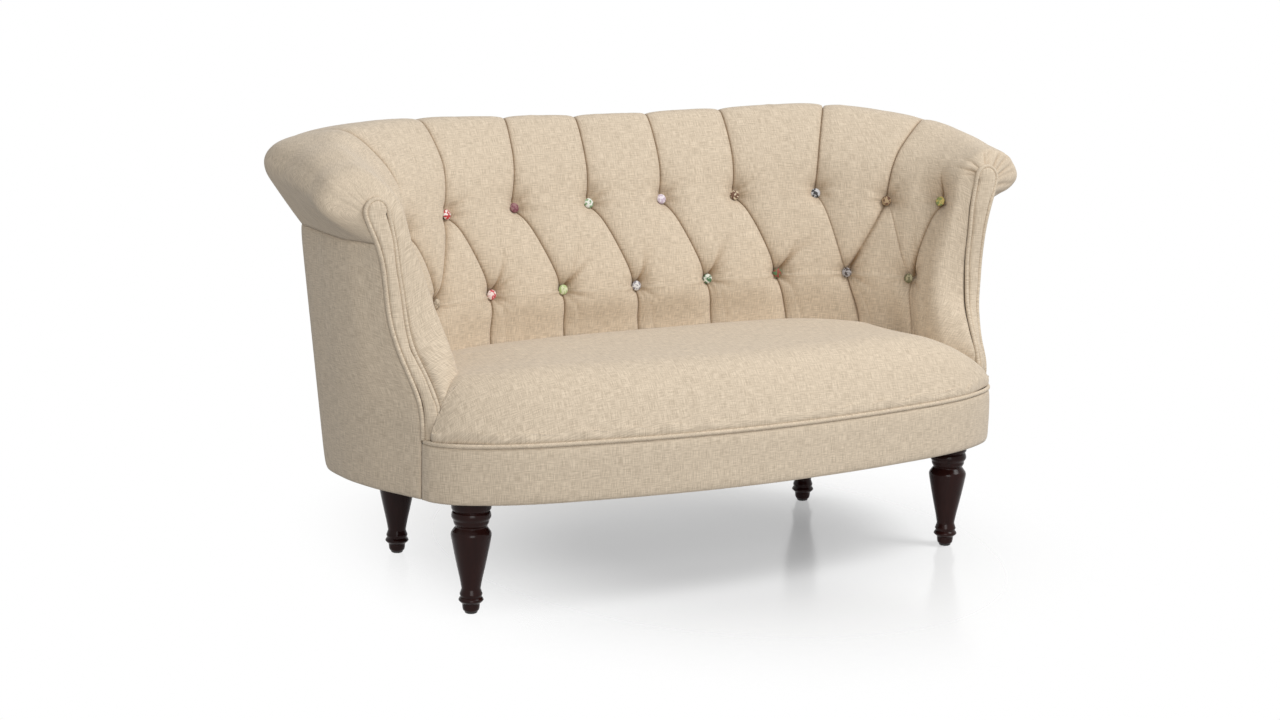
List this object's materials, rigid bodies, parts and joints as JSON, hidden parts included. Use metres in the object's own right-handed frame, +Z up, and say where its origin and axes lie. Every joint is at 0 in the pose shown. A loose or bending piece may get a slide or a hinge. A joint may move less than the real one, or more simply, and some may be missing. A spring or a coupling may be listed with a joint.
{
  "type": "settee",
  "caption": "Two-seat tub settee with a button-tufted inside back rolling over the arms, scrolled arm fronts with piping, a tight seat and turned legs.",
  "frame": {"origin": "on the floor under the middle of the footprint", "axes": "+Z up; the front of the seat faces -Y; +X points to the viewer's right when the settee is seen from the front"},
  "size_m": [1.5338, 0.6851, 0.837],
  "materials": {
    "linen": "oatmeal linen weave, matt",
    "dark_wood": "dark espresso stain, glossy",
    "glide": "black, matt",
    "frame_wood": "sawn hardwood, unfinished",
    "jute": "coarse jute weave",
    "cambric": "thin black cambric",
    "print_plum": "printed cotton, plum",
    "print_red": "printed cotton, red and white",
    "print_pale": "printed cotton, pale",
    "print_tan": "printed cotton, tan",
    "print_dark": "printed cotton, dark brown and grey",
    "print_green": "printed cotton, green"
  },
  "bodies": {
    "root": {"tufted_inside": "linen", "outside_arm_right": "linen", "outside_arm_left": "linen", "outside_back": "linen", "front_border": "linen", "seat_pad": "linen", "seat_welt": "linen", "facing_welt_left": "linen", "facing_welt_right": "linen", "arm_facing_left": "linen", "arm_facing_right": "linen", "leg_front_left": "dark_wood", "leg_front_right": "dark_wood", "leg_back_left": "dark_wood", "leg_back_right": "dark_wood", "glide_front_left": "glide", "glide_front_right": "glide", "glide_back_left": "glide", "glide_back_right": "glide", "seat_rail_front": "frame_wood", "seat_rail_right": "frame_wood", "seat_rail_back": "frame_wood", "seat_rail_left": "frame_wood", "corner_block_front_left": "frame_wood", "corner_block_front_right": "frame_wood", "corner_block_back_left": "frame_wood", "corner_block_back_right": "frame_wood", "seat_brace": "frame_wood", "arm_post_left": "frame_wood", "arm_post_right": "frame_wood", "back_post_corner_left": "frame_wood", "back_post_corner_right": "frame_wood", "back_post_middle_left": "frame_wood", "back_post_middle_right": "frame_wood", "top_rail_left": "frame_wood", "top_rail_back": "frame_wood", "top_rail_right": "frame_wood", "seat_webbing": "jute", "dust_cover": "cambric", "button_top_1": "print_plum", "button_top_4": "print_plum", "button_top_3": "print_red", "button_low_3": "print_red", "button_low_7": "print_red", "button_top_5": "print_pale", "button_top_6": "print_pale", "button_low_5": "print_pale", "button_top_2": "print_pale", "button_top_7": "print_tan", "button_top_9": "print_tan", "button_low_1": "print_tan", "button_top_8": "print_dark", "button_low_8": "print_dark", "button_top_10": "print_green", "button_low_4": "print_green", "button_low_6": "print_green", "button_low_2": "print_green", "button_low_9": "print_green"}
  },
  "joints": []
}
